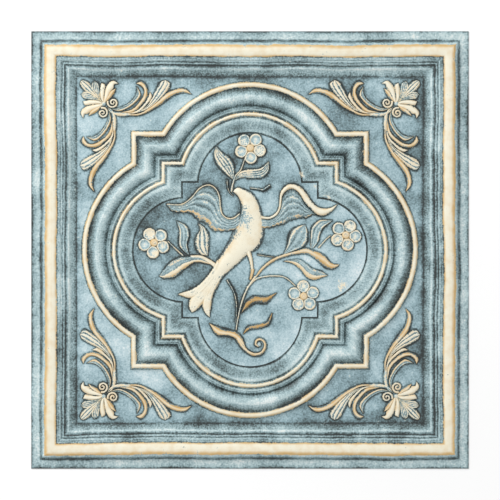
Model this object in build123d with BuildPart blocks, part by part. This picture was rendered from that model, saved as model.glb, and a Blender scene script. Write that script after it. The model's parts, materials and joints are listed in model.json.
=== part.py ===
from build123d import *
import os

# A square ceiling tile, formed from one thin sheet, lying face up.
# X and Y run along the sides, Z up out of the face. The origin is the middle of the back plane.
# A moulding is drawn by its visible line, and the back follows it one thickness below.

# Sheet
tile_side = 603.0
sheet = 1.0

# Square border: runs inwards from the edge, and rises above the lip
lip_width = 14.0
crown_foot = 3.0
crown_width = 20.0
crown_shoulder = 6.0
crown_bulge = 3.8
ledge_width = 3.0
ledge_rise = 7.4
step_run = 2.0
step_width = 4.0
step_drop = 1.6
nose_width = 3.0
cove_width = 11.8
cove_sag = 0.9

# Barbed quatrefoil: how far out the four lobes sit, and where the straight barbs run
lobe_centre = 89.6
barb_offset = 21.7

# Its moulding: the radius of the panel in each lobe, then runs outwards from it
panel_radius = 70.4
panel_rise = 1.9
groove_width = 2.8
groove_depth = 0.9
band_slope = 15.4
band_width = 3.0
band_rise = 5.0
inner_bead_gap = 2.8
inner_bead_width = 6.2
inner_bead_seat = 3.6
inner_bead_bulge = 3.0
fillet_slope = 3.0
fillet_width = 3.4
fillet_rise = 5.2
torus_gap = 2.2
torus_width = 24.0
torus_seat = 2.4
torus_bulge = 6.0
rim_width = 10.4
rim_bulge = 3.6

# Embossed ornament
ornament_rise = 2.2
stem_width = 3.0
petal_count = 5
petal_radius = 8.0
petal_ring = 13.2
button_radius = 6.0
button_rise = 2.8
volute_radius = 7.4
volute_wire = 3.2
knot_radius = 5.8
flats_per_stretch = 2
corner_flats = 1
round_flats = 8

border_width = (
    lip_width + crown_foot + crown_width + ledge_width + 2 * step_run + step_width + nose_width + cove_width
)
half_side = tile_side / 2
field_half = half_side - border_width
reach = 2 * tile_side


def flats(start, end, bulge, count):
    """Gives the points of an arc that rises by its bulge over a chord, cut into equal flats."""
    arc = SagittaArc(start, end, bulge, mode=Mode.PRIVATE)
    return [arc @ (step / count) for step in range(1, count + 1)]


def close_sheet(line):
    """Hangs the back of the sheet one thickness below a visible line, and closes the section."""
    add(line)
    add(line.moved(Location((0, -sheet, 0))))
    Line(line @ 0, line @ 0 - Vector(0, sheet))
    Line(line @ 1, line @ 1 - Vector(0, sheet))


# Border line. Its X is the distance in from the edge of the tile.
with BuildLine() as border_line:
    crown_start = lip_width + crown_foot
    ledge_start = crown_start + crown_width
    step_start = ledge_start + ledge_width
    nose_start = step_start + 2 * step_run + step_width
    step_rise = ledge_rise - step_drop
    nose_rise = step_rise - step_drop
    lip = Polyline((0, sheet), (lip_width, sheet), (crown_start, sheet + crown_shoulder))
    crown = SagittaArc(lip @ 1, (ledge_start, sheet + ledge_rise), crown_bulge)
    steps = Polyline(
        crown @ 1,
        (step_start, sheet + ledge_rise),
        (step_start + step_run, sheet + step_rise),
        (step_start + step_run + step_width, sheet + step_rise),
        (nose_start, sheet + nose_rise),
        (nose_start + nose_width, sheet + nose_rise),
    )
    SagittaArc(steps @ 1, (border_width, sheet), -cove_sag)

# Quatrefoil line. Its X is the radius from the middle of a lobe.
with BuildLine() as foil_line:
    groove_end = panel_radius + groove_width
    band_start = groove_end + band_slope
    bead_start = band_start + band_width + inner_bead_gap
    bead_end = bead_start + inner_bead_width
    fillet_start = bead_end + fillet_slope
    torus_start = fillet_start + fillet_width + torus_gap
    torus_end = torus_start + torus_width
    rim_end = torus_end + rim_width
    Polyline(
        (panel_radius, sheet + panel_rise),
        (panel_radius + groove_width / 2, sheet + panel_rise - groove_depth),
        (groove_end, sheet + panel_rise),
        (band_start, sheet + band_rise),
        (band_start + band_width, sheet + band_rise),
        (bead_start, sheet + inner_bead_seat),
        *flats(
            (bead_start, sheet + inner_bead_seat), (bead_end, sheet + inner_bead_seat), inner_bead_bulge, 3
        ),
        (fillet_start, sheet + fillet_rise),
        (fillet_start + fillet_width, sheet + fillet_rise),
        (torus_start, sheet + torus_seat),
        *flats((torus_start, sheet + torus_seat), (torus_end, sheet + torus_seat), torus_bulge, 4),
        *flats((torus_end, sheet + torus_seat), (rim_end, sheet), rim_bulge, 3),
    )

# Border: half of one side, mitred at its corner
with BuildPart() as half_border:
    with BuildSketch(Plane(origin=(half_side, 0, 0), x_dir=(-1, 0, 0), z_dir=(0, 1, 0))):
        with BuildLine():
            close_sheet(border_line.line)
        make_face()
    extrude(amount=half_side)
    split(bisect_by=Plane(origin=(0, 0, 0), z_dir=(1, -1, 0)), keep=Keep.TOP)

# The mitre between a lobe and its straight barb is the parabola where the lobe's radius and the
# barb's distance agree: y * y = mitre_gain * (2 * x - mitre_sum).
mitre_gain = lobe_centre - barb_offset
mitre_sum = lobe_centre + barb_offset
mitre_tip = (mitre_sum / 2, 0)
mitre_reach = 1.2 * rim_end
mitre_end = (mitre_reach * mitre_reach / (2 * mitre_gain) + mitre_sum / 2, mitre_reach)
mitre_control = (mitre_sum / 2, mitre_reach / 2)

# Room on the lobe's side of the mitre, and on the barb's side up to the diagonal
with BuildPart() as lobe_room:
    with BuildSketch(Plane.XY.offset(-tile_side)):
        with BuildLine():
            Bezier(mitre_tip, mitre_control, mitre_end)
            Polyline(mitre_end, (reach, mitre_reach), (reach, 0), mitre_tip)
        make_face()
    extrude(amount=reach)

with BuildPart() as barb_room:
    with BuildSketch(Plane.XY.offset(-tile_side)):
        with BuildLine():
            Bezier(mitre_tip, mitre_control, mitre_end)
            Polyline(mitre_end, (mitre_end[0], mitre_end[0]), (0, 0), mitre_tip)
        make_face()
    extrude(amount=reach)

# Half a lobe, turned about the lobe's own middle
with BuildPart() as half_lobe:
    with BuildSketch(Plane(origin=(lobe_centre, 0, 0), x_dir=(1, 0, 0), z_dir=(0, -1, 0))):
        with BuildLine():
            close_sheet(foil_line.line)
        make_face()
    revolve(axis=Axis((lobe_centre, 0, 0), (0, 0, 1)), revolution_arc=120)
    add(lobe_room.part, mode=Mode.INTERSECT)

# Half a barb, straight up to the diagonal
with BuildPart() as half_barb:
    with BuildSketch(Plane(origin=(barb_offset, 0, 0), x_dir=(1, 0, 0), z_dir=(0, -1, 0))):
        with BuildLine():
            close_sheet(foil_line.line)
        make_face()
    extrude(amount=-half_side)
    add(barb_room.part, mode=Mode.INTERSECT)


def foil_outline(radius):
    """Draws the quatrefoil with its lobes at this radius on the sketch in hand."""
    with Locations((lobe_centre, 0), (-lobe_centre, 0), (0, lobe_centre), (0, -lobe_centre)):
        Circle(radius)
    Rectangle(2 * (radius + barb_offset), 2 * (radius + barb_offset))


# An eighth of the tile outside the panel
with BuildPart() as eighth:
    add(half_border.part)
    add(half_lobe.part)
    add(half_barb.part)
    with BuildSketch(Plane.XY) as field:
        Polygon((0, 0), (field_half, 0), (field_half, field_half), align=None)
        with BuildSketch(mode=Mode.SUBTRACT):
            foil_outline(rim_end)
    extrude(amount=sheet)


def smooth_run(points, per_stretch=flats_per_stretch):
    """Gives points along the smooth curve through these, a few flats to each stretch."""
    curve = Spline(*points, mode=Mode.PRIVATE)
    count = per_stretch * (len(points) - 1)
    return [curve @ (step / count) for step in range(count + 1)]


def blade(left, right, root=(), per_stretch=flats_per_stretch):
    """Gives the face between two edges, each drawn from its root to the tip they share."""
    with BuildSketch() as shape:
        with BuildLine():
            Polyline(*smooth_run(left, per_stretch))
            Polyline(*smooth_run(right, per_stretch))
            if left[0] != right[0]:
                Polyline(left[0], *root, right[0])
        make_face()
    return shape.sketch


# Centre ornament, each leaf by its two edges from base to tip
bird_body = (
    [
        (-55, -91), (-50, -68), (-38, -43), (-29, -30), (-12, -17), (5, -4), (15, 13), (18, 35), (14, 60),
        (3, 79), (-17, 86),
    ],
    [(-96, -62), (-74, -51), (-56, -36), (-36, 0), (-19, 33), (-13, 52), (-13, 66), (-20, 83), (-17, 86)],
    [(-66, -76), (-80, -84), (-82, -67)],
)
left_wing = (
    [(-14, 48), (-30, 43), (-40, 54), (-43, 76), (-57, 90), (-80, 74), (-95, 63), (-114, 63)],
    [(-20, 28), (-50, 25), (-72, 41), (-88, 50), (-106, 53), (-114, 63)],
)
right_wing = (
    [(10, 46), (28, 46), (39, 60), (42, 82), (60, 93), (82, 74), (96, 60), (119, 61)],
    [(20, 29), (45, 33), (74, 44), (98, 46), (109, 51), (119, 61)],
)
leaves = [
    (
        [(-22, 96), (-33, 104), (-45, 116), (-49, 130), (-47, 143)],
        [(-22, 96), (-22, 115), (-28, 128), (-47, 143)],
    ),
    (
        [(-22, 95), (-13, 108), (0, 111), (14, 113), (25, 122)],
        [(-22, 95), (-8, 99), (12, 98), (25, 109), (25, 122)],
    ),
    (
        [(-84, -7), (-95, 1), (-98, 14), (-98, 27), (-102, 40)],
        [(-84, -7), (-86, 10), (-83, 24), (-90, 36), (-102, 40)],
    ),
    ([(-58, -8), (-70, -5), (-76, 10), (-71, 26), (-72, 37)], [(-58, -8), (-56, 15), (-63, 32), (-72, 37)]),
    (
        [(-49, -21), (-64, -11), (-84, -8), (-107, -15), (-125, -36)],
        [(-49, -21), (-76, -18), (-92, -29), (-110, -39), (-125, -36)],
    ),
    ([(72, -4), (51, -3), (51, 14), (57, 29), (76, 34)], [(72, -4), (78, 9), (83, 20), (82, 29), (76, 34)]),
    ([(85, 1), (82, 16), (85, 33), (95, 40), (113, 41)], [(85, 1), (96, 15), (103, 33), (113, 41)]),
    ([(74, -1), (91, 0), (107, -8), (123, -19)], [(74, -1), (92, -11), (108, -26), (123, -19)]),
    ([(55, -10), (73, -12), (87, -24), (107, -35)], [(55, -10), (69, -26), (84, -42), (107, -35)]),
    ([(-12, -87), (-4, -69), (12, -62), (37, -59)], [(-12, -87), (4, -75), (24, -74), (37, -59)]),
    ([(-9, -116), (-2, -105), (17, -102), (30, -87)], [(-9, -116), (10, -109), (26, -103), (30, -87)]),
    (
        [(-5, -137), (-22, -122), (-44, -117), (-55, -101)],
        [(-5, -137), (-12, -117), (-32, -109), (-55, -101)],
    ),
]
stems = [
    [(-26, 81), (-25, 94), (-19, 106), (-8, 126)],
    [(-92, -8), (-104, 3), (-120, 12)],
    [(5, -37), (16, -25), (30, -14), (52, -6), (82, 1)],
    [(90, 3), (104, 14), (118, 20)],
    [(-2, -52), (9, -40), (24, -36), (42, -36), (60, -50)],
    [(8, -34), (-4, -54), (-12, -74), (-17, -100), (-14, -125)],
    [(-31, -41), (-21, -58), (-18, -80), (-18, -100)],
    [(-14, -125), (-6, -138), (6, -144), (18, -139), (20, -128), (12, -123), (8, -130)],
    [(-2, -8), (3, -25), (1, -39)],
]
blossoms = [((1, 139), -82), ((-132, 10), 45), ((132, 21), -4), ((74, -65), 20)]

# Corner spray, by its distances in from the two sides of the field's corner
palmette = [
    ([(36, 36), (29, 27), (21, 18), (16, 8), (6, 6)], [(36, 36), (27, 29), (18, 21), (8, 16), (6, 6)]),
    ([(34, 36), (27, 27), (21, 17), (24, 7)], [(37, 34), (33, 24), (31, 15), (24, 7)]),
    ([(36, 36), (33, 30), (32, 18), (34, 9)], [(36, 36), (37, 27), (40, 15), (34, 9)]),
    ([(37, 37), (39, 22), (46, 7), (56, 9)], [(37, 37), (44, 22), (49, 13), (56, 9)]),
]
spray = [
    ([(44, 43), (57, 43), (69, 38), (80, 27), (83, 15)], [(44, 43), (59, 47), (75, 41), (87, 28), (83, 15)]),
    ([(59, 49), (77, 43), (90, 29), (92, 18), (82, 9)], [(59, 49), (80, 48), (97, 27), (95, 12), (82, 9)]),
    ([(78, 48), (94, 40), (106, 24), (121, 5)], [(80, 52), (102, 43), (125, 21), (121, 5)]),
    (
        [(42, 42), (66, 50), (88, 49), (107, 37), (138, 17), (157, 23)],
        [(42, 42), (56, 54), (84, 53), (116, 37), (147, 23), (157, 23)],
    ),
]
volute_place = (48.5, 37.5)
knot_place = (39.5, 39.5)


def corner(point):
    """Places a point of the corner spray on the tile's first quarter."""
    return (field_half - point[0], field_half - point[1])


diagonal = Plane(origin=(0, 0, 0), z_dir=(1, -1, 0))


def inner_faces(outline):
    """Gives the faces of an outline moved in by one thickness, as the hollow behind it."""
    return offset(outline, amount=-sheet, kind=Kind.INTERSECTION, mode=Mode.PRIVATE).faces()


# Wide forms, each with its own hollow behind: the bird and its wings
bird = [blade(*bird_body), blade(*left_wing), blade(*right_wing)]

# Narrower forms, left solid: the leaves, the corner blades, the petals, the stems and the volutes
foliage = [blade(*leaf) for leaf in leaves]
corner_blades = [
    blade([corner(p) for p in left], [corner(p) for p in right], per_stretch=corner_flats)
    for left, right in palmette + spray
]

with BuildSketch() as petal:
    with Locations((petal_ring, 0)):
        RegularPolygon(petal_radius, round_flats)

with BuildSketch() as tendrils:
    for points in stems:
        with BuildLine() as run:
            Polyline(*smooth_run(points))
        trace(run.line, line_width=stem_width)

with BuildSketch() as corner_volute:
    with Locations(corner(volute_place)):
        RegularPolygon(volute_radius, round_flats)
        RegularPolygon(volute_radius - volute_wire, round_flats, mode=Mode.SUBTRACT)
        RegularPolygon(volute_wire / 2, round_flats)
    with Locations(corner(knot_place)):
        RegularPolygon(knot_radius, round_flats)

# Centre panel with its relief, and the hollows behind the bird
with BuildPart() as panel:
    with BuildSketch(Plane.XY.offset(panel_rise)):
        foil_outline(panel_radius)
    extrude(amount=sheet)
    with BuildSketch(Plane.XY.offset(panel_rise)):
        for outline in bird + foliage:
            add(outline)
        add(tendrils.sketch)
        for place, turn in blossoms:
            with Locations(Location((*place, 0), (0, 0, turn))):
                with PolarLocations(0, petal_count):
                    add(petal.sketch)
    extrude(amount=sheet + ornament_rise)
    with BuildSketch(Plane.XY.offset(panel_rise)):
        with Locations([place for place, turn in blossoms]):
            RegularPolygon(button_radius, round_flats)
    extrude(amount=sheet + button_rise)
    with BuildSketch(Plane.XY.offset(panel_rise)):
        for outline in bird:
            add(inner_faces(outline))
    extrude(amount=ornament_rise, mode=Mode.SUBTRACT)

# A quarter of the tile outside the panel, with its corner spray
with BuildPart() as quarter:
    add(eighth.part)
    mirror(about=diagonal)
    with BuildSketch(Plane.XY):
        for outline in corner_blades + [corner_volute.sketch]:
            add(outline)
            mirror(outline, about=diagonal)
    extrude(amount=sheet + ornament_rise)

with BuildPart() as tile:
    with PolarLocations(0, 4):
        add(quarter.part)
    add(panel.part)

os.makedirs("parts", exist_ok=True)
tile.part.label = "tile"
export_step(tile.part, "parts/tile.step")
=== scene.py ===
import json
import math

import bpy
from mathutils import Matrix, Vector, noise
from mathutils.bvhtree import BVHTree
from mathutils.geometry import delaunay_2d_cdt

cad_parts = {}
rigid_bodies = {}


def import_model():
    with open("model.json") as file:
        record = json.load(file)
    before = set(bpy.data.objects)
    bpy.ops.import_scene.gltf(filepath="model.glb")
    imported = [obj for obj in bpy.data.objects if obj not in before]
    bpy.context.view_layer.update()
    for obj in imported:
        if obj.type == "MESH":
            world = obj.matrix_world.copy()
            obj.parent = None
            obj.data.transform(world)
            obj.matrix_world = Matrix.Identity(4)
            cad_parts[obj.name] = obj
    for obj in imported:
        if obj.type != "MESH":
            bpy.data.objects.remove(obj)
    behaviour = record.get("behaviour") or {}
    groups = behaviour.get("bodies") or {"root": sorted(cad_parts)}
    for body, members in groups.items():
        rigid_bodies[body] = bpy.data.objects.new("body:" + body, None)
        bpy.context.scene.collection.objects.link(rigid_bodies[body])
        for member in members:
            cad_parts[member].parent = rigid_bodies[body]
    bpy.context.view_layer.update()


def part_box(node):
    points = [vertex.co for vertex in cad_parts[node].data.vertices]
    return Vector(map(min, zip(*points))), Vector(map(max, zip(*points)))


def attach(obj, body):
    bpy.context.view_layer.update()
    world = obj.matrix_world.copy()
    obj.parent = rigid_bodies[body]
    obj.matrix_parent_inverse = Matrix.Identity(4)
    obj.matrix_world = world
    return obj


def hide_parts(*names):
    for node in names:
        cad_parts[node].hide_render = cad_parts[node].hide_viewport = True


bl_info = {
    "name": "Formed ceiling tile",
    "version": (1, 0, 0),
    "blender": (4, 5, 0),
    "location": "View3D > Sidebar > Tile",
    "description": "Makes a heat-formed ceiling tile with an antique paint finish",
    "category": "Add Mesh",
}

# The frame: the tile lies face up, with its back plane on the floor
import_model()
tile_low, tile_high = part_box("tile")

MM = 0.001
SHEET = 1.0
TILE_HALF = (tile_high.x - tile_low.x) / 2 / MM

# Quatrefoil, in millimetres: lobes sit this far out, and barbs run this far beyond a lobe's radius
LOBE_CENTRE = 89.6
BARB_OFFSET = 21.7
PANEL_RADIUS = 70.4
FOIL_FOOT = 143.6
BORDER_WIDTH = 62.8
FIELD_HALF = TILE_HALF - BORDER_WIDTH
PANEL_RISE = 1.9

# Steps round the mouldings, in an eighth of the quatrefoil and along a side of the border, and the gap
# between the rows of a section
LOBE_STEPS = 24
BARB_STEPS = 8
EIGHTH_STEPS = LOBE_STEPS + BARB_STEPS
SIDE_STEPS = 64
ROW_GAP = 0.8
FOIL_STATIONS = [eighth + step / EIGHTH_STEPS for eighth in range(8) for step in range(EIGHTH_STEPS)]
BORDER_STATIONS = [side + step / SIDE_STEPS for side in range(4) for step in range(SIDE_STEPS)]

# Length of the quatrefoil's eighth, near enough for the brush marks along it
EIGHTH_RUN = 170

# Hand-painted lines stray by up to about this much, in slow waves and in ripples so many to the
# millimetre. The ripples are read from a layer of the noise well away from the waves.
BORDER_STRAY = 2.24
FOIL_STRAY = 0.8
STRAY_WAVES = 0.013
STRAY_RIPPLES = 0.07
RIPPLE_SHARE = 0.4
RIPPLE_LAYER = 90

# A raised piece is this thick, its edges sink this deep for a section's rise of -1, and its rounded
# ends keep these shares of its rise
RELIEF_DEPTH = 0.6
EDGE_DEPTH = 2.0
END_RISE = 0.3
TIP_RISE = 0.15
CURVE_STEPS = 12
LEAF_ROWS = 32
ORNAMENT_CREASE = 60

# Parts of the bird that overlap differ in height by this much, so that neither breaks through
OVERLAP_STEP = 0.1

# Worn place on the bird's breast, by its middle and reach as shares of the body's length and width,
# and how much cream is gone there
BREAST_ALONG = (0.66, 0.24)
BREAST_ACROSS = (0.3, 0.45)
BREAST_WEAR = 0.72

# Waves on the trailing edge of a wing: depth, turn from row to row and the way they lean
RUFFLE = 0.7
RUFFLE_TURN = 1.45
RUFFLE_LEAN = Vector((0.3, 1))

# Flat sheets are joined up from points this far apart, closer within reach of the ornament
COARSE_GRID = 8.0
FINE_GRID = 1.6
FINE_REACH = 4.0

# Tone of the panel's wash in its middle, its change for each millimetre right and up, and its palest
PANEL_TONE = 0.13
PANEL_TONE_RIGHT = 0.003
PANEL_TONE_UP = -0.0014
PANEL_PALEST = 0.5

# Tone of the field's wash, and its change at the right side and at the top and bottom sides
FIELD_TONE = 0.2
FIELD_TONE_RIGHT = -0.2
FIELD_TONE_ENDS = -0.25

# Dark wash settled by a step, by its reach and strength: round the ornament and along the border
ORNAMENT_WASH = [(1.7, 1.2), (6.0, 0.3)]
BORDER_WASH = [(1.5, 0.6), (12.0, 0.4)]
WASH_REACH = 12.0
DARKEST = -1.2

# Forms of the mouldings: distance, rise above the lip. The border's distance is in from the edge
# of the tile, and the quatrefoil's is the radius from the middle of a lobe.
BORDER_FORM = [
    (0.0, 0.0), (12.8, 0.0), (14.2, 0.6), (15.4, 3.0), (17.0, 6.0), (19.0, 8.0), (21.5, 9.6), (24.5, 10.4),
    (28.0, 10.45), (31.5, 9.9), (34.0, 9.0), (35.8, 8.1), (37.0, 7.4), (40.2, 7.4), (41.8, 5.8), (45.6, 5.8),
    (47.4, 4.3), (48.2, 4.2), (51.2, 4.2), (52.2, 3.9), (53.4, 3.0), (55.0, 2.0), (57.5, 1.0), (60.0, 0.35),
    (BORDER_WIDTH, 0.0),
]
FOIL_FORM = [
    (PANEL_RADIUS, PANEL_RISE), (71.2, 1.1), (72.4, 1.1), (73.2, 1.9), (76.0, 2.45), (80.0, 3.2), (84.5, 4.2),
    (88.2, 4.9), (89.8, 5.0), (91.4, 4.9), (93.0, 4.0), (94.2, 3.7), (95.1, 4.9), (96.2, 6.2), (97.3, 6.6),
    (98.4, 6.3), (99.4, 5.3), (100.4, 3.9), (101.4, 3.6), (102.6, 4.5), (103.7, 5.2), (105.4, 5.0),
    (107.0, 5.2), (108.0, 4.0), (109.2, 2.4), (110.6, 3.5), (112.6, 5.1), (115.4, 6.7), (118.4, 7.9),
    (121.2, 8.35), (124.0, 7.9), (127.0, 6.7), (129.6, 5.3), (131.8, 3.6), (133.3, 2.4), (134.3, 3.0),
    (135.2, 3.8), (136.6, 4.6), (138.3, 4.9), (140.0, 4.2), (141.4, 2.6), (142.4, 1.0), (FOIL_FOOT, 0.0),
]

# Paint on the mouldings: distance, tone, cream, gold. Tone runs from -1.2, full dark wash, to 1.2,
# pale dry brushing, and cream and gold from 0 to about 1 and 2.
BORDER_PAINT = [
    (0.0, -0.9, 0, 0), (0.9, -0.7, 0, 0), (2.2, -0.05, 0, 0), (5.0, 0.3, 0, 0), (9.5, 0.55, 0, 0),
    (11.3, 0.35, 0, 0), (12.2, -0.6, 0, 0), (13.6, -0.75, 0, 0), (14.8, -0.5, 0, 0), (15.8, -0.3, 0, 0),
    (16.8, 0.2, 0, 0), (17.8, 0.4, 0.1, 0), (18.8, 0.3, 0.25, 0.4), (19.6, 0.2, 0.65, 1.1),
    (21.0, 0.3, 1.0, 1.15), (22.8, 0.3, 1.0, 0.7), (25.0, 0.5, 1.0, 0.15), (31.5, 0.5, 1.0, 0.0),
    (33.4, 0.4, 1.0, 0.15), (34.8, 0.2, 0.9, 0.8), (35.8, -0.4, 0.55, 1.4), (36.5, -0.8, 0.2, 0.6),
    (37.3, 0.0, 0.1, 0.2), (38.6, 0.1, 0, 0), (40.0, -0.2, 0, 0), (41.3, 0.6, 0, 0),
    (42.4, 0.1, 0, 0), (43.6, -0.85, 0, 0), (44.8, -0.1, 0, 0), (45.7, 0.45, 0, 0), (46.6, -0.5, 0, 0),
    (47.6, -1.1, 0, 0), (49.0, -0.45, 0, 0), (50.6, 0.0, 0, 0), (52.4, 0.85, 0, 0), (53.6, 0.35, 0, 0),
    (55.0, -0.05, 0, 0), (57.6, -0.15, 0, 0), (60.0, -0.45, 0, 0), (61.6, -0.7, 0, 0), (62.6, -1.15, 0, 0),
]
FOIL_PAINT = [
    (PANEL_RADIUS, -0.5, 0, 0), (71.2, -1.2, 0, 0), (72.4, -1.1, 0, 0), (73.4, 0.0, 0, 0), (75.0, 0.15, 0, 0),
    (78.0, -0.2, 0, 0), (82.0, -0.25, 0, 0), (86.0, -0.05, 0, 0), (89.6, 0.5, 0, 0), (91.4, 0.35, 0, 0),
    (92.8, -0.55, 0.05, 0.1), (94.0, -0.5, 0.1, 0.3), (95.2, 0.0, 0.6, 0.7), (96.6, 0.2, 1.0, 0.1),
    (98.6, 0.2, 1.0, 0.1), (99.5, -0.2, 0.65, 0.8), (100.5, -0.9, 0.2, 0.9), (102.0, -0.6, 0.1, 0.3),
    (103.2, 0.0, 0, 0), (104.2, 0.25, 0, 0), (105.2, -0.5, 0, 0), (106.4, -0.1, 0, 0), (107.4, -0.5, 0, 0),
    (109.2, -0.8, 0, 0), (110.6, -0.62, 0, 0), (112.2, -0.35, 0, 0), (114.5, -0.05, 0, 0), (117.0, 0.3, 0, 0),
    (119.0, 0.5, 0, 0), (121.0, 0.55, 0, 0), (122.4, 0.7, 0, 0), (123.6, 0.35, 0, 0), (125.2, 0.05, 0, 0),
    (127.5, -0.22, 0, 0), (130.0, -0.5, 0, 0),
    (132.0, -0.75, 0, 0), (133.6, -0.95, 0.1, 0.4), (134.6, -0.8, 0.3, 0.9), (135.6, 0.0, 0.8, 0.6),
    (136.8, 0.3, 1.0, 0.1), (139.6, 0.3, 1.0, 0.15), (140.8, 0.1, 0.9, 0.8), (141.8, -0.4, 0.4, 1.0),
    (142.8, -0.55, 0.2, 0.5), (FOIL_FOOT, -0.45, 0.05, 0.2),
]

# Sections of a raised blade, from its left edge to its right: rise as a share, tone, cream, gold
RIMMED_LEAF = [
    (-0.1, -1.2, 0, 0),
    (0.55, -0.8, 0.2, 0.4),
    (1.0, 0.5, 0.85, 0.25),
    (0.8, 0.3, 0.3, 0),
    (0.5, -0.45, 0, 0),
    (0.55, 0.1, 0, 0),
    (0.62, 0.45, 0.25, 0),
    (0.55, 0.0, 0, 0),
    (0.5, -0.3, 0, 0),
    (0.8, 0.2, 0.2, 0),
    (1.0, 0.5, 0.7, 0.3),
    (0.55, -0.8, 0.2, 0.4),
    (-0.1, -1.2, 0, 0),
]
VEINED_LEAF = [
    (-0.1, -1.0, 0, 0),
    (0.7, -0.3, 0.4, 0.3),
    (1.0, 0.5, 0.95, 0.15),
    (0.55, -0.6, 0.1, 0),
    (0.85, 0.5, 0.75, 0.1),
    (0.6, -0.5, 0.1, 0),
    (0.9, 0.5, 0.8, 0.2),
    (0.6, -0.45, 0, 0),
    (1.0, 0.5, 0.75, 0.2),
    (0.7, -0.3, 0.3, 0.3),
    (-0.1, -1.0, 0, 0),
]
LOOPED_LEAF = [
    (-0.1, -1.1, 0, 0),
    (0.6, -0.3, 0.5, 0.4),
    (1.0, 0.4, 0.95, 0.2),
    (0.55, -0.6, 0.05, 0),
    (0.9, 0.5, 0.8, 0.2),
    (0.95, 0.5, 0.9, 0.1),
    (0.55, -0.5, 0.05, 0),
    (1.0, 0.4, 0.9, 0.2),
    (0.6, -0.3, 0.5, 0.4),
    (-0.1, -1.1, 0, 0),
]
GILT_LEAF = [
    (-0.1, -1.0, 0, 0.4),
    (0.6, -0.4, 0.5, 1.3),
    (0.95, 0.2, 0.95, 0.8),
    (1.0, 0.3, 1.0, 0.35),
    (0.9, 0.2, 0.95, 0.7),
    (0.7, 0.0, 0.7, 1.3),
    (0.4, -0.5, 0.3, 1.3),
    (-0.1, -1.0, 0, 0.3),
]
OLD_GILT_LEAF = [
    (-0.1, -1.1, 0, 0.6),
    (0.6, -0.7, 0.35, 1.9),
    (0.95, -0.3, 0.65, 1.7),
    (1.0, 0.1, 0.85, 1.2),
    (0.9, -0.2, 0.7, 1.6),
    (0.7, -0.6, 0.45, 2.0),
    (0.4, -0.9, 0.2, 1.8),
    (-0.1, -1.2, 0, 0.6),
]
FOLDED_LEAF = [
    (-0.1, -1.0, 0, 0),
    (0.6, -0.3, 0.3, 0.3),
    (0.8, 0.4, 0.45, 0.2),
    (0.4, -0.1, 0, 0),
    (0.3, 0.15, 0, 0),
    (0.45, -0.45, 0.1, 0),
    (0.85, 0.1, 0.8, 0.4),
    (1.0, 0.3, 1.0, 0.3),
    (0.8, 0.1, 0.85, 0.8),
    (0.5, -0.4, 0.5, 0.9),
    (-0.1, -1.0, 0, 0),
]
PLUMES = [
    (0.1, -0.8, 0, 0),
    (0.5, -0.5, 0, 0),
    (0.6, 0.1, 0.1, 0),
    (0.4, -0.4, 0, 0),
    (0.62, 0.55, 0.45, 0),
    (0.45, 0.0, 0, 0),
    (0.35, -0.5, 0, 0),
    (0.6, 0.5, 0.4, 0),
    (0.5, 0.0, 0, 0),
    (0.35, -0.55, 0, 0),
    (0.55, 0.4, 0.2, 0),
    (0.5, -0.2, 0, 0),
    (0.55, -0.45, 0.1, 0.5),
    (0.9, 0.2, 0.6, 0.8),
    (0.6, -0.3, 0.5, 1.0),
    (-0.1, -1.0, 0, 0),
]
RIM = [
    (-0.1, -1.0, 0, 0),
    (0.5, -0.5, 0.5, 0.6),
    (0.95, 0.2, 1.0, 0.25),
    (0.95, 0.2, 1.0, 0.15),
    (0.5, -0.5, 0.5, 0.6),
    (-0.1, -1.0, 0, 0),
]
BAND = [
    (-0.1, -1.0, 0, 0),
    (0.6, -0.2, 0.8, 0.5),
    (0.95, 0.3, 1.0, 0.05),
    (1.0, 0.3, 1.0, 0.0),
    (0.9, 0.2, 1.0, 0.15),
    (0.6, -0.2, 0.7, 0.6),
    (-0.1, -0.9, 0, 0.2),
]
FEATHER = [
    (-0.1, -0.9, 0.1, 0.3),
    (0.6, 0.0, 0.8, 0.4),
    (0.9, 0.3, 1.0, 0.0),
    (0.75, 0.1, 0.75, 0.1),
    (0.95, 0.3, 1.0, 0.0),
    (0.75, 0.1, 0.75, 0.1),
    (0.9, 0.3, 1.0, 0.1),
    (0.6, -0.1, 0.7, 0.6),
    (-0.1, -0.9, 0.1, 0.3),
]
STEM = [
    (-0.15, -1.1, 0, 0),
    (0.6, 0.0, 0.35, 0.3),
    (0.95, 0.9, 0.85, 0.25),
    (0.7, 0.3, 0.6, 0.4),
    (-0.15, -1.0, 0, 0),
]
SHADED_STEM = [
    (-0.15, -1.2, 0, 0),
    (0.5, -1.2, 0, 0),
    (0.95, -0.9, 0.1, 0.3),
    (0.8, 0.3, 0.7, 0.4),
    (-0.15, -0.8, 0, 0),
]
BODY = [
    (-0.1, -1.0, 0, 0.2),
    (0.45, -0.2, 0.75, 0.5),
    (0.75, 0.1, 0.95, 0.1),
    (0.92, 0.2, 1.0, 0.0),
    (1.0, 0.3, 1.0, 0.0),
    (0.97, 0.3, 1.0, 0.0),
    (0.88, 0.2, 1.0, 0.0),
    (0.72, 0.1, 0.95, 0.0),
    (0.45, -0.2, 0.8, 0.2),
    (-0.1, -0.9, 0.1, 0.2),
]

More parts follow.
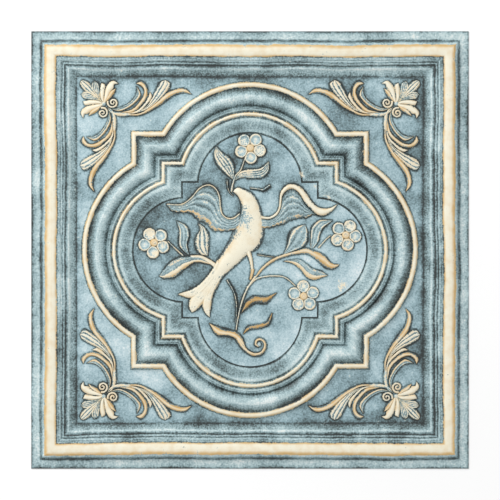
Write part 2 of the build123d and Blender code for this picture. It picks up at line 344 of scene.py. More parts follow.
# Rings of a petal and of a blossom's button: radius, rise, tone, cream, gold
PETAL_RINGS = [
    (9.2, -0.2, -1.0, 0, 0),
    (8.6, 1.2, -0.5, 0.4, 0.4),
    (7.6, 1.9, 0.5, 0.9, 0.2),
    (6.6, 1.8, 0.4, 0.5, 0.1),
    (5.4, 1.2, -0.1, 0.25, 0),
    (3.4, 0.8, 0.5, 0.3, 0),
    (1.2, 0.8, 0.8, 0.5, 0),
]
BUTTON_RINGS = [
    (6.0, 0.4, -1.1, 0, 0.5),
    (5.3, 1.8, -0.5, 0.6, 1.0),
    (4.2, 2.7, 0.3, 1.0, 0.9),
    (2.8, 3.1, 0.5, 1.0, 0.4),
    (1.8, 2.9, -0.3, 0.7, 0.8),
    (0.8, 3.1, 0.5, 1.0, 0.3),
]
PETAL_RING = 13.2
PETAL_HALF_ANGLE = 0.6
PETAL_MIDDLE = 6
PETAL_CREAM = (0.0, 0.3, -0.1, 0.15, 0.05)

# Blossoms: middle and turn of each
BLOSSOMS = [((0.5, 140.5), -87), ((-132, 10), 47), ((132, 20.5), -7), ((74, -63.5), 20)]

# Leaves: left edge, right edge, section. Edges run from root to tip, in millimetres from the middle.
LEAVES = [
    (
        [(-22, 96), (-33, 104), (-45, 116), (-50, 130), (-47, 143)],
        [(-22, 96), (-21, 114), (-26, 126), (-36, 133), (-47, 143)],
        VEINED_LEAF,
    ),
    (
        [(-22, 95), (-14, 108), (0, 112), (14, 113), (26, 122)],
        [(-22, 95), (-12, 99.5), (3, 98), (17, 99), (26, 108), (26, 122)],
        VEINED_LEAF,
    ),
    (
        [(-84, -7), (-94, 0), (-99, 9), (-98, 26), (-101, 40)],
        [(-84, -7), (-86, 9), (-82.5, 22), (-87, 34), (-101, 40)],
        RIMMED_LEAF,
    ),
    (
        [(-58, -8), (-69, -6), (-76, 5), (-74.5, 19), (-69, 27), (-71.5, 37)],
        [(-58, -8), (-56, 8), (-56, 22), (-63, 32), (-71.5, 37)],
        LOOPED_LEAF,
    ),
    (
        [(-49, -21), (-63, -10.5), (-83, -8.5), (-99, -10.5), (-113, -19.5), (-125, -36)],
        [(-49, -21), (-60.5, -19), (-76, -17.5), (-89.5, -26.5), (-103, -38), (-117, -40), (-125, -36)],
        FOLDED_LEAF,
    ),
    (
        [(46, -6), (50.5, 6.5), (52, 18), (56.5, 28), (65, 33), (76, 35)],
        [(46, -6), (63.5, -1), (74.5, 3), (80.5, 12), (80, 25), (76, 35)],
        RIMMED_LEAF,
    ),
    (
        [(83, 3), (82.5, 20), (84, 31), (90.5, 38.5), (98.5, 42), (114, 41)],
        [(87, 2), (95, 11), (97, 19), (100.5, 28.5), (107, 35), (114, 41)],
        RIMMED_LEAF,
    ),
    (
        [(55, -14), (69, -12.5), (78.5, -18.5), (87.5, -25), (98, -28.5), (107, -35)],
        [
            (46, -15.5), (57, -18.5), (66.5, -25), (73, -33), (78.5, -39.5), (87.5, -42), (96, -39.5),
            (107, -35),
        ],
        FOLDED_LEAF,
    ),
    (
        [(-12, -87), (-7, -73), (4, -63), (21, -63.5), (37, -59)],
        [(-12, -87), (-3, -80), (8, -74), (23.5, -74), (37, -59)],
        OLD_GILT_LEAF,
    ),
    (
        [(-9.5, -116), (-4, -105.5), (8, -102), (22, -99), (30, -87)],
        [(-9.5, -116), (0, -110.5), (15, -109), (27.5, -102), (31, -87)],
        OLD_GILT_LEAF,
    ),
    (
        [(-5, -137), (-19, -124), (-30, -119), (-47, -117), (-56, -101)],
        [(-5, -137), (-9.5, -121.5), (-19, -112.5), (-38.5, -107), (-56, -101)],
        GILT_LEAF,
    ),
    (
        [
            (7, -36), (16.5, -23), (30.5, -12), (47, -5), (65, 0), (76, 4), (85.5, 1), (94, -2),
            (103.5, -6.5), (108, -13), (113.5, -18.5), (123, -20),
        ],
        [
            (9.5, -37.5), (19.5, -26.5), (32, -17), (47, -10.5), (65, -6.5), (78.5, -6.5), (86.5, -11),
            (96, -18.5), (103.5, -25), (112.5, -27.5), (120, -24), (123, -20),
        ],
        GILT_LEAF,
    ),
]

# Stems: points along each, width, section
STEMS = [
    ([(-31, 97), (-30.5, 88), (-28, 80), (-23, 75)], 2.8, SHADED_STEM),
    ([(-24, 90), (-20, 102), (-13, 110), (-7, 126)], 3.2, STEM),
    ([(-26, 80), (-24, 90), (-22, 97)], 4.2, STEM),
    ([(-92, -8), (-104, 3), (-113, 12)], 3.0, STEM),
    ([(94, 3), (104, 14), (111, 20)], 3.0, STEM),
    ([(-4, -52), (8, -40), (24, -36), (42, -36), (52, -40), (63, -50)], 3.8, STEM),
    ([(8, -36), (-4, -54), (-11.5, -73), (-16.5, -94), (-19, -110)], 4.0, STEM),
    ([(-31, -41), (-22, -57), (-18, -75), (-19, -100)], 3.6, SHADED_STEM),
    ([(28, 88.5), (24, 86), (18.5, 82.3), (11, 83.5), (0, 85)], 5.0, SHADED_STEM),
    ([(10, -6), (22, -8), (37, -10)], 2.8, SHADED_STEM),
    ([(-47, -22), (-57, -15), (-68, -9.5), (-82, -9)], 6.6, FEATHER),
    ([(-3, -1), (1, -13), (3.4, -28)], 7.6, BAND),
    ([(3.6, -26), (2.4, -33), (0.4, -41)], 6.8, GILT_LEAF),
]
SCROLL = [
    (-19, -119), (-9.5, -134), (3, -143.5), (15, -142.5), (21.5, -132.5), (18, -124), (10.5, -123),
    (7.5, -129.5), (12, -133),
]
SCROLL_EYE = (12.6, -130)
SCROLL_WIDTH = 6.6

# Bird: edges of its body, tail feathers and wings
BODY_LEFT = [
    (-60, -38), (-47, -17), (-36, 0), (-27, 17.5), (-20.5, 33), (-14, 49.5), (-12.5, 62), (-16.5, 73),
    (-23, 80.5),
]
BODY_RIGHT = [
    (-46, -54), (-37, -38), (-29, -30), (-13.5, -17), (-1.5, -5.5), (11, 2.5), (18.5, 19), (19.5, 35.5),
    (17, 49.5), (11.5, 66), (4, 78), (-8, 84), (-18, 86.5), (-23, 80.5),
]
TAIL = [
    (
        [(-45, -13), (-57, -33), (-74.5, -50), (-99, -61)],
        [(-40, -28), (-56, -50), (-70, -63), (-83, -67), (-99, -61)],
    ),
    (
        [(-46, -20), (-60, -40), (-76, -57), (-83, -67), (-84.5, -78), (-80, -86)],
        [(-36, -32), (-46, -50), (-57, -66), (-65.5, -76), (-73, -83), (-80, -86)],
    ),
    (
        [(-43, -22), (-55, -45), (-64, -63), (-66, -76), (-62, -87), (-55.5, -92.5)],
        [(-34, -34), (-43, -47), (-50, -62), (-53, -78), (-55.5, -92.5)],
    ),
]
LEFT_WING_LEAD = [
    (-14, 50), (-22, 44), (-31, 43.5), (-38.5, 49.5), (-41, 60.5), (-42, 73), (-47, 84), (-57, 89.5),
    (-69, 85), (-81, 71.5), (-95, 62.5), (-114.5, 63),
]
LEFT_WING_TRAIL = [
    (-16, 30), (-24, 27), (-36, 25.5), (-51, 26.5), (-60, 35.5), (-72, 41), (-81, 50), (-92, 51.5),
    (-107, 53.5), (-114.5, 63),
]
RIGHT_BAND_OUT = [
    (15, 47), (26, 46), (34.5, 50.5), (39.5, 59), (41.5, 78.5), (49.5, 89), (60, 91.5), (72.5, 85.5),
    (86, 67), (93, 60.5), (103.5, 57.5), (112.5, 59), (121, 63.5),
]
RIGHT_BAND_IN = [
    (15, 43), (26, 42), (36.5, 47), (42.5, 58), (45, 74), (51, 81.5), (58, 84), (65, 80.5), (69.5, 75),
    (75.5, 63.5), (83, 55.5), (90.5, 49), (98, 46), (105, 47.5), (113.5, 53.5), (121, 63.5),
]
RIGHT_WING_TRAIL = [
    (15, 30), (28, 31), (39, 34), (48, 35.5), (52.5, 39), (62, 41.5), (70, 44), (78.5, 44), (86.5, 49),
    (96, 47),
]

# Corner spray: edges by their distances in from the two sides of the field's corner, the section, and
# whether the blade is made once more on the other side of the diagonal
SPRAY = [
    (
        [(36, 36), (29, 31.5), (19.5, 25.5), (10, 19.5), (4.5, 11.5), (5.5, 5.5)],
        [(36, 36), (31.5, 29), (25.5, 19.5), (19.5, 10), (11.5, 4.5), (5.5, 5.5)],
        LOOPED_LEAF, False,
    ),
    (
        [(35, 36), (28.5, 29), (20.5, 18.5), (20, 10.5), (24, 6)],
        [(36, 36), (32.5, 27.5), (32, 18), (30.5, 9.5), (24, 6)],
        VEINED_LEAF, True,
    ),
    (
        [(36, 36), (32, 29), (31, 18), (34, 8.5)],
        [(38, 36), (38, 27.5), (39.5, 18), (40, 11), (34, 8.5)],
        BAND, True,
    ),
    (
        [(37, 38), (37.5, 26), (39.5, 14.5), (44, 7.5), (50.5, 5), (57, 9)],
        [(38, 38), (43, 30.5), (47, 22.5), (51.5, 16), (51.5, 11.5), (57, 9)],
        BAND, True,
    ),
    (
        [(39, 34.5), (42, 26.5), (46, 19.5), (54, 16)],
        [(40, 34.5), (47, 30), (51.5, 24), (54, 16)],
        GILT_LEAF, True,
    ),
    (
        [(44.5, 43.5), (56.5, 43), (68.5, 38), (78, 30), (82, 22), (82.5, 13)],
        [(44.5, 43.5), (59, 47.5), (73, 42), (84, 32.5), (88.5, 24), (82.5, 13)],
        FOLDED_LEAF, True,
    ),
    (
        [(59, 49.5), (77, 43.5), (87.5, 32.5), (92.5, 22), (90, 14.5), (82, 9)],
        [(59, 49.5), (78, 49.5), (90, 39), (98, 27.5), (97, 13.5), (89.5, 5.5), (82, 9)],
        GILT_LEAF, True,
    ),
    (
        [(66, 50.5), (81.5, 46.5), (93.5, 35), (101, 21)],
        [(66, 51), (84, 50), (97, 39), (104.5, 28), (101, 21)],
        RIM, True,
    ),
    (
        [(75.5, 51), (93.5, 42), (102.5, 30), (108.5, 17), (114.5, 7.5), (122, 4.5)],
        [(75.5, 51.5), (96, 46), (111.5, 35), (124, 22), (130, 10.5), (122, 4.5)],
        LOOPED_LEAF, True,
    ),
    (
        [(66, 52), (87.5, 49.5), (106.5, 37.5), (123.5, 22), (138, 16), (149.5, 16), (158, 24)],
        [(66, 52.5), (84, 54), (99.5, 48.5), (116.5, 38.5), (133, 26.5), (147.5, 22.5), (158, 24)],
        GILT_LEAF, True,
    ),
    (
        [(42, 42), (49.5, 47), (66, 49)],
        [(42, 42), (46, 49.5), (56, 54.5), (68.5, 55), (80.5, 53)],
        STEM, True,
    ),
]
# Curl beside the palmette: place, radius at its start, turn from step to step in degrees
VOLUTE = (49.8, 35.6)
VOLUTE_RADIUS = 7.5
VOLUTE_START = 200
VOLUTE_TURN = 33
VOLUTE_STEPS = 20
VOLUTE_WIDTH = 4.2
KNOT = (37, 37)
KNOT_RINGS = [(3.4, -0.2, -0.8, 0, 0), (2.6, 1.0, 0.1, 0.1, 0), (1.4, 1.6, 0.5, 0.4, 0.1)]

# Places where the cream brush has strayed onto the panel and its edge: middle, reach, strength
SMUDGES = [((88, 86), 8, 0.75), ((70, 104), 7, 0.6), ((107, 72), 9, 0.5), ((126, -50), 16, 0.66)]


# Tools that all pieces share

def deselect_all():
    if bpy.context.object and bpy.context.object.mode != "OBJECT":
        bpy.ops.object.mode_set(mode="OBJECT")
    bpy.ops.object.select_all(action="DESELECT")


def take(piece):
    """Selects this piece alone and makes it the active one."""
    deselect_all()
    piece.select_set(True)
    bpy.context.view_layer.objects.active = piece


def paint(piece, values):
    """Keeps each vertex's tone, cream and gold on the piece, for its material."""
    for channel, name in enumerate(("tone", "cream", "gold")):
        layer = piece.data.attributes.new(name, "FLOAT", "POINT")
        layer.data.foreach_set("value", [value[channel] for value in values])


def hang_back(piece, depth):
    """Extrudes the visible face of a piece down, so that it becomes a closed sheet."""
    take(piece)
    bpy.ops.object.mode_set(mode="EDIT")
    bpy.ops.mesh.select_all(action="SELECT")
    bpy.ops.mesh.extrude_region_move(TRANSFORM_OT_translate={"value": (0, 0, -depth)})
    bpy.ops.mesh.select_all(action="SELECT")
    bpy.ops.mesh.normals_make_consistent(inside=False)
    bpy.ops.object.mode_set(mode="OBJECT")


def join(pieces, name):
    """Joins pieces into the first of them, under this name."""
    deselect_all()
    for piece in pieces:
        piece.select_set(True)
    bpy.context.view_layer.objects.active = pieces[0]
    bpy.ops.object.join()
    joined = bpy.context.view_layer.objects.active
    joined.name = name
    joined.data.name = name
    return joined


def copied(piece):
    """Copies a piece with its own mesh."""
    copy = piece.copy()
    copy.data = piece.data.copy()
    bpy.context.scene.collection.objects.link(copy)
    return copy


def finish_piece(piece, material, crease=40):
    """Smooths a piece, paints it and hangs it on the frame."""
    take(piece)
    bpy.ops.object.shade_smooth_by_angle(angle=math.radians(crease))
    piece.data.materials.clear()
    piece.data.materials.append(material)
    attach(piece, "root")
    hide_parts("tile")


def strayed_cream(x, y):
    """Gives how much cream the brush has left by accident at this place."""
    return sum(
        strength * max(0.0, 1 - math.dist(place, (x, y)) / reach)
        for place, reach, strength in SMUDGES
    )


# Mouldings

def border_place(run, turn):
    """Gives where a border row, this far in from the edge, stands at this share of the way round."""
    side = int(turn) % 4
    share = 2 * (turn - int(turn)) - 1
    reach = TILE_HALF - run
    x, y = reach, share * reach
    for _ in range(side):
        x, y = -y, x
    return x, y, abs(share * reach)


def foil_place(radius, turn):
    """Gives where a quatrefoil row, at this lobe radius, stands at this share of the way round.
    Lobe and barb meet where both have run equally far out, which is a parabola."""
    eighth = int(turn) % 8
    share = turn - int(turn)
    if eighth % 2:
        share = 1 - share
    gain = LOBE_CENTRE - BARB_OFFSET
    out = radius + BARB_OFFSET
    mitre_y = math.sqrt(gain * (2 * out - LOBE_CENTRE - BARB_OFFSET))
    lobe_share = LOBE_STEPS / EIGHTH_STEPS
    if share <= lobe_share:
        mitre_angle = math.atan2(mitre_y, out - LOBE_CENTRE)
        angle = mitre_angle * share / lobe_share
        x, y = LOBE_CENTRE + radius * math.cos(angle), radius * math.sin(angle)
    else:
        along = (share - lobe_share) / (1 - lobe_share)
        x, y = out, mitre_y + along * (out - mitre_y)
    if eighth % 2:
        x, y = y, x
    for _ in range(eighth // 2):
        x, y = -y, x
    return x, y, share * EIGHTH_RUN


def between(rows, run):
    """Gives the values at this distance, between the two rows round it."""
    if run <= rows[0][0]:
        return rows[0][1:]
    for before, after in zip(rows, rows[1:]):
        if run <= after[0]:
            share = (run - before[0]) / (after[0] - before[0])
            return tuple(a + (b - a) * share for a, b in zip(before[1:], after[1:]))
    return rows[-1][1:]


def moulding_section(form):
    """Gives the rows of the face, closely spaced, and then those of the back, one sheet below."""
    first, last = form[0][0], form[-1][0]
    rows = round((last - first) / ROW_GAP)
    even_runs = {round(first + (last - first) * row / rows, 2) for row in range(rows + 1)}
    runs = sorted(even_runs | {run for run, _ in form})
    face = [(run, between(form, run)[0], True) for run in runs]
    back = [(run, rise - SHEET, False) for run, rise in reversed(form)]
    return face + back


def hand_stray(x, y):
    """Gives how far a line painted by hand strays here, as a share of its most."""
    wave = noise.noise(Vector((x, y, 0)) * STRAY_WAVES)
    ripple = noise.noise(Vector((x, y, RIPPLE_LAYER)) * STRAY_RIPPLES)
    return wave + RIPPLE_SHARE * ripple


def swept_moulding(name, form, coat, place, stations, most_stray):
    """Makes a moulding from a ring, by moving each point of it to its row of the section."""
    deselect_all()
    section = moulding_section(form)
    bpy.ops.mesh.primitive_torus_add(major_segments=len(stations), minor_segments=len(section))
    ring = bpy.context.object
    ring.name = ring.data.name = name
    values, along, across = [], [], []
    for index, vertex in enumerate(ring.data.vertices):
        run, rise, on_face = section[index % len(section)]
        x, y, far = place(run, stations[index // len(section)])
        vertex.co = Vector((x, y, rise + SHEET)) * MM
        tone, cream, gold = (0, 0, 0)
        if on_face:
            tone, cream, gold = between(coat, run + most_stray * hand_stray(x, y))
        values.append((tone, cream + strayed_cream(x, y), gold))
        along.append(far)
        across.append(run)
    paint(ring, values)
    for layer_name, numbers in (("along", along), ("across", across)):
        layer = ring.data.attributes.new(layer_name, "FLOAT", "POINT")
        layer.data.foreach_set("value", numbers)
    bpy.ops.object.mode_set(mode="EDIT")
    bpy.ops.mesh.select_all(action="SELECT")
    bpy.ops.mesh.normals_make_consistent(inside=False)
    bpy.ops.object.mode_set(mode="OBJECT")
    return ring


# Ornament

def curve_point(a, b, c, d, t):
    """Gives the point at share t of the smooth curve from b to c, whose next points are a and d."""
    bend = 2 * a - 5 * b + 4 * c - d
    twist = 3 * b - a - 3 * c + d
    return 0.5 * (2 * b + (c - a) * t + bend * t * t + twist * t**3)


def smooth(points, count):
    """Gives count + 1 points along the smooth curve through these, evenly spaced in its length."""
    ends = [Vector(point) for point in points]
    ends = [2 * ends[0] - ends[1]] + ends + [2 * ends[-1] - ends[-2]]
    fine = []
    for a, b, c, d in zip(ends, ends[1:], ends[2:], ends[3:]):
        fine += [curve_point(a, b, c, d, step / CURVE_STEPS) for step in range(CURVE_STEPS)]
    fine.append(ends[-2])
    lengths = [0.0]
    for a, b in zip(fine, fine[1:]):
        lengths.append(lengths[-1] + (b - a).length)
    result, spot = [], 0
    for step in range(count + 1):
        target = lengths[-1] * step / count
        while spot < len(fine) - 2 and lengths[spot + 1] < target:
            spot += 1
        gap = lengths[spot + 1] - lengths[spot]
        share = (target - lengths[spot]) / gap if gap > 0 else 0
        result.append(fine[spot].lerp(fine[spot + 1], share))
    return result


def ruffled(edge, depth):
    """Gives an edge with small waves of this depth."""
    return [point + RUFFLE_LEAN * depth * math.sin(row * RUFFLE_TURN) for row, point in enumerate(edge)]


def end_rise(share, ends):
    """Gives the share of its rise that a blade has here. Ends are the shares of its length that slope."""
    start = min(1.0, share / ends[0]) if ends[0] else 1.0
    finish = min(1.0, (1 - share) / ends[1]) if ends[1] else 1.0
    return END_RISE + (1 - END_RISE) * math.sqrt(max(0.0, min(start, finish)))


def blade(left, right, section, rise, base, rows=18, ends=(0.25, 0.25), ruffle=0.0, wear=None):
    """Raises a blade between its two edges, each from its root to its tip, and paints its section.
    Wear, where given, tells how much cream is rubbed off at a share of its length and its width."""
    deselect_all()
    columns = len(section) - 1
    bpy.ops.mesh.primitive_grid_add(x_subdivisions=columns, y_subdivisions=rows, size=2)
    piece = bpy.context.object
    left_run, right_run = smooth(left, rows), ruffled(smooth(right, rows), ruffle)
    values = []
    for vertex in piece.data.vertices:
        column = round((vertex.co.x + 1) / 2 * columns)
        row = round((vertex.co.y + 1) / 2 * rows)
        height, tone, cream, gold = section[column]
        share = row / rows
        flat = left_run[row].lerp(right_run[row], column / columns)
        lift = height * rise * end_rise(share, ends) if height > 0 else height * EDGE_DEPTH
        if (row == 0 and ends[0]) or (row == rows and ends[1]):
            lift = min(lift, TIP_RISE * rise)
        vertex.co = Vector((flat.x, flat.y, base + SHEET + lift)) * MM
        if wear:
            cream -= wear(share, column / columns)
        values.append((tone, cream, gold))
    paint(piece, values)
    hang_back(piece, RELIEF_DEPTH * MM)
    return piece


def ribbon(points, width, section, rise, base, rows=24, taper=0.5):
    """Raises a stem or tendril of this width along a smooth run of points."""
    spine = smooth(points, rows)
    left, right = [], []
    for index, point in enumerate(spine):
        ahead = spine[min(index + 1, rows)] - spine[max(index - 1, 0)]
        side = Vector((-ahead.y, ahead.x)).normalized()
        half = width / 2 * (1 - taper * index / rows)
        left.append(point + side * half)
        right.append(point - side * half)
    return blade(left, right, section, rise, base, rows=rows, ends=(0.04, 0.06))


def disc(centre, rings, base, sides=24):
    """Raises a round form from a flat disc by insets: rings of radius, rise, tone, cream, gold."""
    deselect_all()
    radius, rise = rings[0][0], rings[0][1]
    bpy.ops.mesh.primitive_circle_add(
        vertices=sides, radius=radius * MM, fill_type="NGON",
        location=(centre[0] * MM, centre[1] * MM, (base + SHEET + rise) * MM),
    )
    piece = bpy.context.object
    bpy.ops.object.transform_apply(location=True)
    bpy.ops.object.mode_set(mode="EDIT")
    bpy.ops.mesh.select_all(action="SELECT")
    for before, after in zip(rings, rings[1:]):
        bpy.ops.mesh.inset(thickness=(before[0] - after[0]) * MM, depth=(after[1] - before[1]) * MM)
    bpy.ops.object.mode_set(mode="OBJECT")
    values = []
    for vertex in piece.data.vertices:
        reach = math.hypot(vertex.co.x / MM - centre[0], vertex.co.y / MM - centre[1])
        nearest = min(rings, key=lambda ring: abs(ring[0] - reach))
        values.append(nearest[2:])
    paint(piece, values)
    hang_back(piece, RELIEF_DEPTH * MM)
    return piece


def petal(middle, angle, more_cream):
    """Raises one petal: a disc that is kept inside its fifth of the blossom round this middle."""
    x, y = middle
    spot = (x + PETAL_RING * math.cos(angle), y + PETAL_RING * math.sin(angle))
    rings = [
        (radius, rise, tone, cream + more_cream * (radius < PETAL_MIDDLE), gold)
        for radius, rise, tone, cream, gold in PETAL_RINGS
    ]
    piece = disc(spot, rings, PANEL_RISE)
    for vertex in piece.data.vertices:
        across, out = vertex.co.y / MM - y, vertex.co.x / MM - x
        reach, turned = math.hypot(across, out), math.atan2(across, out) - angle
        turned = (turned + math.pi) % (2 * math.pi) - math.pi
        turned = max(-PETAL_HALF_ANGLE, min(PETAL_HALF_ANGLE, turned))
        vertex.co.x = (x + reach * math.cos(angle + turned)) * MM
        vertex.co.y = (y + reach * math.sin(angle + turned)) * MM
    return piece


def breast_wear(share, across):
    """Gives how much cream is rubbed off the bird's breast."""
    (along_middle, along_reach), (across_middle, across_reach) = BREAST_ALONG, BREAST_ACROSS
    along_share = max(0.0, 1 - abs(share - along_middle) / along_reach)
    across_share = max(0.0, 1 - abs(across - across_middle) / across_reach)
    return BREAST_WEAR * along_share * across_share


def corner_point(point, mirrored):
    """Gives the place of a point kept by its distances in from the two sides of the field's corner."""
    across, down = (point[1], point[0]) if mirrored else point
    return (FIELD_HALF - across, FIELD_HALF - down)


def volute(mirrored, rise):
    """Raises one of a corner's two curls: a ribbon wound inwards."""
    curl = []
    for step in range(VOLUTE_STEPS):
        angle = math.radians(VOLUTE_START - VOLUTE_TURN * step)
        reach = VOLUTE_RADIUS * (1 - step / (VOLUTE_STEPS + 2))
        spot = (VOLUTE[0] + reach * math.cos(angle), VOLUTE[1] + reach * math.sin(angle))
        curl.append(corner_point(spot, mirrored))
    return ribbon(curl, VOLUTE_WIDTH, RIM, rise, 0.0, rows=72, taper=0.35)


# Flat sheets

def outline_of(place, run, stations):
    """Gives the line that a moulding's row runs along, seen from above."""
    return [place(run, turn)[:2] for turn in stations]


def in_foil(point, radius):
    """Tells whether a point lies inside the quatrefoil of this lobe radius."""
    high, low = max(abs(point[0]), abs(point[1])), min(abs(point[0]), abs(point[1]))
    return min(math.hypot(high - LOBE_CENTRE, low), high - BARB_OFFSET) < radius


def in_panel(point):
    """Tells whether a point lies on the centre panel."""
    return in_foil(point, PANEL_RADIUS)


def in_field(point):
    """Tells whether a point lies on the field, between the border and the quatrefoil."""
    return max(abs(point[0]), abs(point[1])) < FIELD_HALF and not in_foil(point, FOIL_FOOT)


def panel_wash(x, y):
    """Gives the tone of the panel's wash, which grows paler towards the lower right."""
    return min(PANEL_PALEST, PANEL_TONE + PANEL_TONE_RIGHT * x + PANEL_TONE_UP * y)


def field_wash(x, y):
    """Gives the tone of the field's wash, which is paler to the left and dark above and below."""
    ends = max(0.0, abs(y) - abs(x))
    return FIELD_TONE + (FIELD_TONE_RIGHT * x + FIELD_TONE_ENDS * ends) / FIELD_HALF


def settled_wash(far, washes):
    """Gives how much dark wash has settled this far from a step."""
    return sum(strength * max(0.0, 1 - far / reach) for reach, strength in washes)


def sheet_points(tree, keep, level):
    """Spreads points for a flat sheet: a coarse grid, and a fine one close to the ornament."""
    points = []
    count = int(TILE_HALF * 2 / FINE_GRID)
    ratio = round(COARSE_GRID / FINE_GRID)
    for i in range(count):
        for j in range(count):
            spot = (-TILE_HALF + (i + 0.5) * FINE_GRID, -TILE_HALF + (j + 0.5) * FINE_GRID)
            if not keep(spot):
                continue
            on_coarse = i % ratio == 0 and j % ratio == 0
            hit = tree.find_nearest(Vector((*spot, level)) * MM, FINE_REACH * MM)
            if on_coarse or hit[0] is not None:
                points.append(spot)
    return points


def flat_sheet(name, outlines, ornament, keep, base, wash):
    """Makes a flat part of the sheet between outlines, washed dark round the ornament on it."""
    # Scattered points joined up between outlines: the mesh tools have no fill that keeps inner points
    tree = BVHTree.FromObject(ornament, bpy.context.evaluated_depsgraph_get())
    points = sheet_points(tree, keep, base + SHEET)
    edges = []
    for outline in outlines:
        start = len(points)
        points += outline
        edges += [(start + k, start + (k + 1) % len(outline)) for k in range(len(outline))]
    corners, _, faces, _, _, _ = delaunay_2d_cdt([Vector(p) for p in points], edges, [], 0, 1e-4)
    kept_faces = []
    for face in faces:
        middle = sum((corners[i] for i in face), Vector((0, 0))) / len(face)
        if keep(middle):
            kept_faces.append(face)
    mesh = bpy.data.meshes.new(name)
    mesh.from_pydata([(c.x * MM, c.y * MM, (base + SHEET) * MM) for c in corners], [], kept_faces)
    sheet = bpy.data.objects.new(name, mesh)
    bpy.context.scene.collection.objects.link(sheet)
    values = []
    for vertex in mesh.vertices:
        hit = tree.find_nearest(vertex.co, WASH_REACH * MM)
        far = hit[3] / MM if hit[0] is not None else WASH_REACH
        x, y = vertex.co.x / MM, vertex.co.y / MM
        edge = FIELD_HALF - max(abs(x), abs(y))
        tone = wash(x, y) - settled_wash(far, ORNAMENT_WASH) - settled_wash(edge, BORDER_WASH)
        values.append((max(DARKEST, tone), strayed_cream(x, y), 0))
    paint(sheet, values)
    take(sheet)
    bpy.ops.object.mode_set(mode="EDIT")
    bpy.ops.mesh.select_all(action="SELECT")
    bpy.ops.mesh.delete_loose(use_verts=True, use_edges=True, use_faces=False)
    bpy.ops.object.mode_set(mode="OBJECT")
    hang_back(sheet, SHEET * MM)
    return sheet


# Materials

def linear(code):
    """Turns an sRGB hex code into the linear colour that Blender keeps."""
    parts = [int(code[i : i + 2], 16) / 255 for i in (1, 3, 5)]
    return (*[p / 12.92 if p <= 0.04045 else ((p + 0.055) / 1.055) ** 2.4 for p in parts], 1.0)


def node(tree, kind, settings=None, **inputs):
    """Adds a node with its settings. An input is given by its name, or by its number as i0, and is
    a value, a socket, or a node whose first output is meant."""
    made = tree.nodes.new(kind)
    for key, value in (settings or {}).items():
        setattr(made, key, value)
    for key, value in inputs.items():
        numbered = key[0] == "i" and key[1:].isdigit()
        slot = made.inputs[int(key[1:])] if numbered else made.inputs[key.replace("_", " ")]
        if isinstance(value, bpy.types.Node):
            value = value.outputs[0]
        if isinstance(value, bpy.types.NodeSocket):
            tree.links.new(value, slot)
        else:
            slot.default_value = value
    return made


def fill_ramp(ramp, stops):
    """Sets the places and colours along a ramp."""
    while len(ramp.elements) < len(stops):
        ramp.elements.new(0.5)
    for element, (spot, colour) in zip(ramp.elements, stops):
        element.position = spot
        element.color = colour


# Colours of the paint from full dark wash to pale dry brushing: greyed on the mouldings, bluer on
# the sheets
GREYED = (
    (0.0, linear("#262e2e")), (0.167, linear("#475556")), (0.333, linear("#71878a")),
    (0.5, linear("#97b0b5")), (0.667, linear("#b3cacd")), (0.833, linear("#cbddde")),
    (1.0, linear("#e8f0ee")),
)
BLUED = (
    (0.0, linear("#272f2f")), (0.167, linear("#475658")), (0.333, linear("#70888e")),
    (0.5, linear("#95b1b9")), (0.667, linear("#b2cbd2")), (0.833, linear("#cadee3")),
    (1.0, linear("#e8f1f2")),
)

# Patterns of the paint: size in millimetres, detail. The grain of the brush and the sheet is drawn
# coarser than it is, so that it shows.
CLOUDS = (55, 3.0)
MOTTLES = (11, 4.0)
GRAINS = (2.0, 2.0)

# Brush marks across a moulding: width and length in millimetres, and how the pattern shifts from
# place to place so that no two sides match
STREAK_WIDTH = 1.8
STREAK_LENGTH = 16
SHIFT_ACROSS = 9.0
SHIFT_UP = 17.0

# How much the patterns break up the gilt and the cream, and the levels between which cream covers
GILT_MOTTLE = 1.2
CREAM_WEAR = 1.3
COVER_FROM = 0.36
COVER_TO = 0.7

# Dry paint, satin: roughness, IOR, strength and depth of its relief
PAINT_ROUGHNESS = 0.5
PAINT_IOR = 1.46
PAINT_BUMP = 0.35
PAINT_DEPTH = 0.3 * MM

# Settings of the sums in a material
SUBTRACTED = {"operation": "SUBTRACT"}
MULTIPLIED = {"operation": "MULTIPLY"}
SCALED_SUM = {"operation": "MULTIPLY_ADD"}


def brush_streaks(tree, place):
    """Adds the marks of a dry brush drawn across a moulding, from the run kept on its vertices."""
    along = node(tree, "ShaderNodeAttribute", {"attribute_name": "along"}).outputs["Fac"]
    across = node(tree, "ShaderNodeAttribute", {"attribute_name": "across"}).outputs["Fac"]
    apart = node(tree, "ShaderNodeSeparateXYZ", Vector=place)
    shift = node(tree, "ShaderNodeMath", MULTIPLIED, i0=apart.outputs["Y"], i1=SHIFT_UP)
    shift = node(tree, "ShaderNodeMath", SCALED_SUM, i0=apart.outputs["X"], i1=SHIFT_ACROSS, i2=shift)
    wide = node(tree, "ShaderNodeMath", MULTIPLIED, i0=along, i1=1 / STREAK_WIDTH)
    long = node(tree, "ShaderNodeMath", MULTIPLIED, i0=across, i1=1 / STREAK_LENGTH)
    run = node(tree, "ShaderNodeCombineXYZ", X=wide, Y=long, Z=shift)
    streak = node(tree, "ShaderNodeTexNoise", Vector=run, Scale=1.0, Detail=3.0)
    return node(tree, "ShaderNodeMath", SUBTRACTED, i0=streak, i1=0.5)


